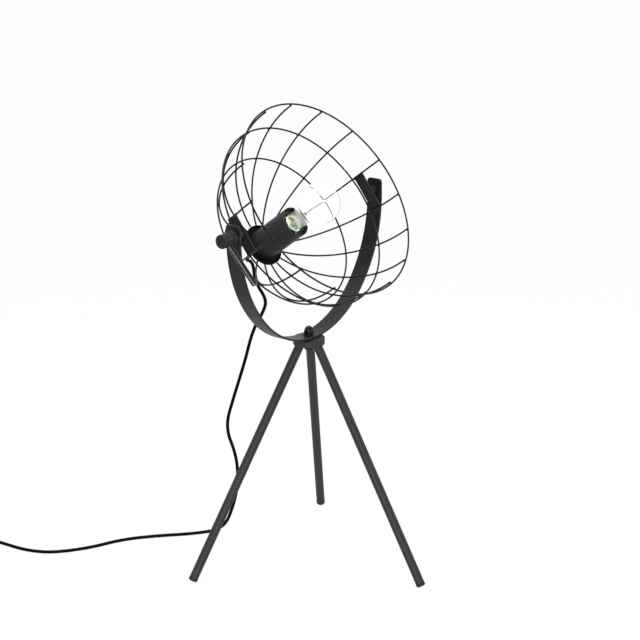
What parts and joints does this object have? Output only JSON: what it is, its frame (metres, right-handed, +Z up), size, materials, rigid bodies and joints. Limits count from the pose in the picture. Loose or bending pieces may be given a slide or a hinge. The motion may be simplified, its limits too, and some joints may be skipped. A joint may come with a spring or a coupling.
{
  "type": "tabletop searchlight lamp",
  "caption": "Table lamp on a tubular tripod: an open wire bowl round a clear globe bulb, tilting in a flat-strip yoke with a lever knob, with mains cord.",
  "frame": {"origin": "on the floor under the stand, on the swivel axis of the yoke", "axes": "+Z up; the tilt axis is parallel to X at 0.532 m; at rest the light shines towards -Y and 36.9 degrees up"},
  "size_m": [0.6215, 0.6609, 0.6797],
  "materials": {
    "powder_coat": "matte black powder coat",
    "blackened_steel": "blackened steel fasteners, satin",
    "zinc_steel": "zinc plated steel",
    "black_plastic": "moulded black plastic, fine grain",
    "cord_sheath": "smooth black flexible sheath",
    "foot_rubber": "matte black rubber",
    "brass": "pressed brass",
    "bulb_glass": "clear thin glass",
    "cap_glass": "black glassy insulator",
    "solder": "tinned metal",
    "filament": "glowing wound wire",
    "pin_nickel": "nickel plated brass"
  },
  "bodies": {
    "stand": {"tripod_hub": "powder_coat", "leg_front": "powder_coat", "leg_left": "powder_coat", "leg_right": "powder_coat", "leg_inserts": "zinc_steel", "leg_studs": "zinc_steel", "foot_cap_front": "foot_rubber", "foot_cap_left": "foot_rubber", "foot_cap_right": "foot_rubber", "swivel_bolt": "blackened_steel", "swivel_friction_washer": "black_plastic", "swivel_top_washer": "blackened_steel", "swivel_cap_nut": "blackened_steel", "cord_lower": "cord_sheath", "switch_base": "black_plastic", "switch_cover": "black_plastic", "switch_contacts": "brass", "switch_screws": "zinc_steel", "cord_tail": "cord_sheath", "cord_coil": "cord_sheath", "plug_cord": "cord_sheath", "plug_relief": "black_plastic", "plug_body": "black_plastic", "plug_pins": "pin_nickel"},
    "yoke": {"yoke": "powder_coat", "cord_upper": "cord_sheath"},
    "head": {"rim_ring": "powder_coat", "middle_ring": "powder_coat", "inner_ring": "powder_coat", "cage_wires": "powder_coat", "pivot_plate_left": "powder_coat", "pivot_plate_right": "powder_coat", "tilt_stud_left": "blackened_steel", "tilt_stud_right": "blackened_steel", "tilt_spacer_left": "powder_coat", "tilt_spacer_right": "powder_coat", "tilt_inner_washers": "blackened_steel", "tilt_outer_washers": "blackened_steel", "tilt_nut": "blackened_steel", "cage_cap": "powder_coat", "holder_nipple": "zinc_steel", "holder_nut": "zinc_steel", "cord_gland": "black_plastic", "holder_sleeve": "powder_coat", "lampholder_body": "black_plastic", "holder_shell": "brass", "holder_centre_contact": "brass", "terminal_screws": "zinc_steel"},
    "tilt_knob": {"knob_body": "powder_coat", "knob_lever": "powder_coat"},
    "bulb": {"bulb_glass": "bulb_glass", "bulb_cap": "brass", "bulb_insulator": "cap_glass", "bulb_contact": "solder", "bulb_stem": "bulb_glass", "bulb_leads": "solder", "bulb_filament": "filament"},
    "switch_key": {"switch_rocker": "black_plastic"}
  },
  "joints": [
    {"name": "yoke_swivel", "type": "hinge", "parent": "stand", "child": "yoke", "pos_m": [0, 0, 0.3495], "axis": [0, 0, 1], "range_deg": [-90, 90], "deforming": ["cord_lower"]},
    {"name": "head_tilt", "type": "hinge", "parent": "yoke", "child": "head", "pos_m": [0, 0, 0.532], "axis": [1, 0, 0], "range_deg": [-38, 67], "deforming": ["cord_upper"]},
    {"name": "knob_turn", "type": "hinge", "parent": "head", "child": "tilt_knob", "pos_m": [-0.175, 0, 0.532], "axis": [1, 0, 0], "range_deg": [0, 180]},
    {"name": "bulb_removal", "type": "slide", "parent": "head", "child": "bulb", "axis": [0, -0.7998, 0.6003], "range_m": [0, 0.1]},
    {"name": "switch_rock", "type": "hinge", "parent": "stand", "child": "switch_key", "pos_m": [-0.331, 0.452, 0.011], "axis": [0, 1, 0], "range_deg": [-16, 0]}
  ]
}
